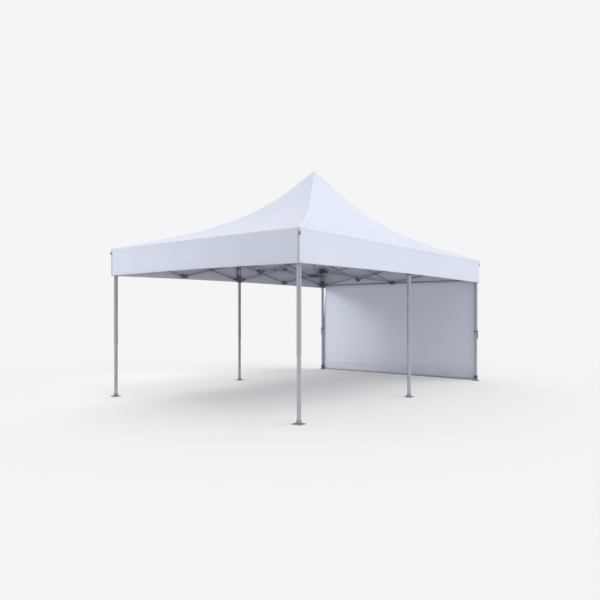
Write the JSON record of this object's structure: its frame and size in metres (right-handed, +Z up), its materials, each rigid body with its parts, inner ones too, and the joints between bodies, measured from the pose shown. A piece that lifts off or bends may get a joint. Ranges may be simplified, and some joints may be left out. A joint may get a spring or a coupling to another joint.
{
  "type": "canopy tent",
  "caption": "Rectangular folding canopy tent on telescopic legs with scissor trusses, a concave peaked roof, deep hanging borders and one side wall.",
  "frame": {"origin": "centre of the footprint, on the ground under the feet", "axes": "+X along the long sides, towards the end with the side wall; +Y from the front long side to the back one; +Z up"},
  "size_m": [6.02, 4.02, 4.0194],
  "materials": {
    "canopy_cloth": "white coated polyester, matt",
    "wall_cloth": "white coated polyester, matt, lit through from outside",
    "aluminium": "satin anodised",
    "nylon": "moulded, fine texture"
  },
  "bodies": {
    "frame": {"roof_panel_front": "canopy_cloth", "roof_panel_back": "canopy_cloth", "roof_panel_left": "canopy_cloth", "roof_panel_right": "canopy_cloth", "valance_front": "canopy_cloth", "valance_back": "canopy_cloth", "valance_left": "canopy_cloth", "valance_right": "canopy_cloth", "side_wall": "wall_cloth", "upper_leg_front_left": "aluminium", "upper_leg_front_middle": "aluminium", "upper_leg_front_right": "aluminium", "upper_leg_back_left": "aluminium", "upper_leg_back_middle": "aluminium", "upper_leg_back_right": "aluminium", "lower_leg_front_right": "aluminium", "lower_leg_back_right": "aluminium", "top_bracket_front_left": "nylon", "top_bracket_front_middle": "nylon", "top_bracket_front_right": "nylon", "top_bracket_back_left": "nylon", "top_bracket_back_middle": "nylon", "top_bracket_back_right": "nylon", "slider_front_left": "nylon", "slider_front_middle": "nylon", "slider_front_right": "nylon", "slider_back_left": "nylon", "slider_back_middle": "nylon", "slider_back_right": "nylon", "truss_front_left": "aluminium", "truss_front_right": "aluminium", "truss_back_left": "aluminium", "truss_back_right": "aluminium", "truss_left_end": "aluminium", "truss_right_end": "aluminium", "truss_middle_front": "aluminium", "truss_middle_back": "aluminium", "truss_axis_left": "aluminium", "truss_axis_right": "aluminium", "pole_hub_lower": "nylon", "pole_hub_upper": "nylon", "centre_pole": "aluminium", "peak_cap": "nylon"},
    "front_left_foot": {"lower_leg_front_left": "aluminium"},
    "front_middle_foot": {"lower_leg_front_middle": "aluminium"},
    "back_left_foot": {"lower_leg_back_left": "aluminium"},
    "back_middle_foot": {"lower_leg_back_middle": "aluminium"}
  },
  "joints": [
    {"name": "front_left_slide", "type": "slide", "parent": "frame", "child": "front_left_foot", "axis": [0, 0, 1], "range_m": [0, 0.8]},
    {"name": "front_middle_slide", "type": "slide", "parent": "frame", "child": "front_middle_foot", "axis": [0, 0, 1], "range_m": [0, 0.8]},
    {"name": "back_left_slide", "type": "slide", "parent": "frame", "child": "back_left_foot", "axis": [0, 0, 1], "range_m": [0, 0.8]},
    {"name": "back_middle_slide", "type": "slide", "parent": "frame", "child": "back_middle_foot", "axis": [0, 0, 1], "range_m": [0, 0.8]}
  ]
}
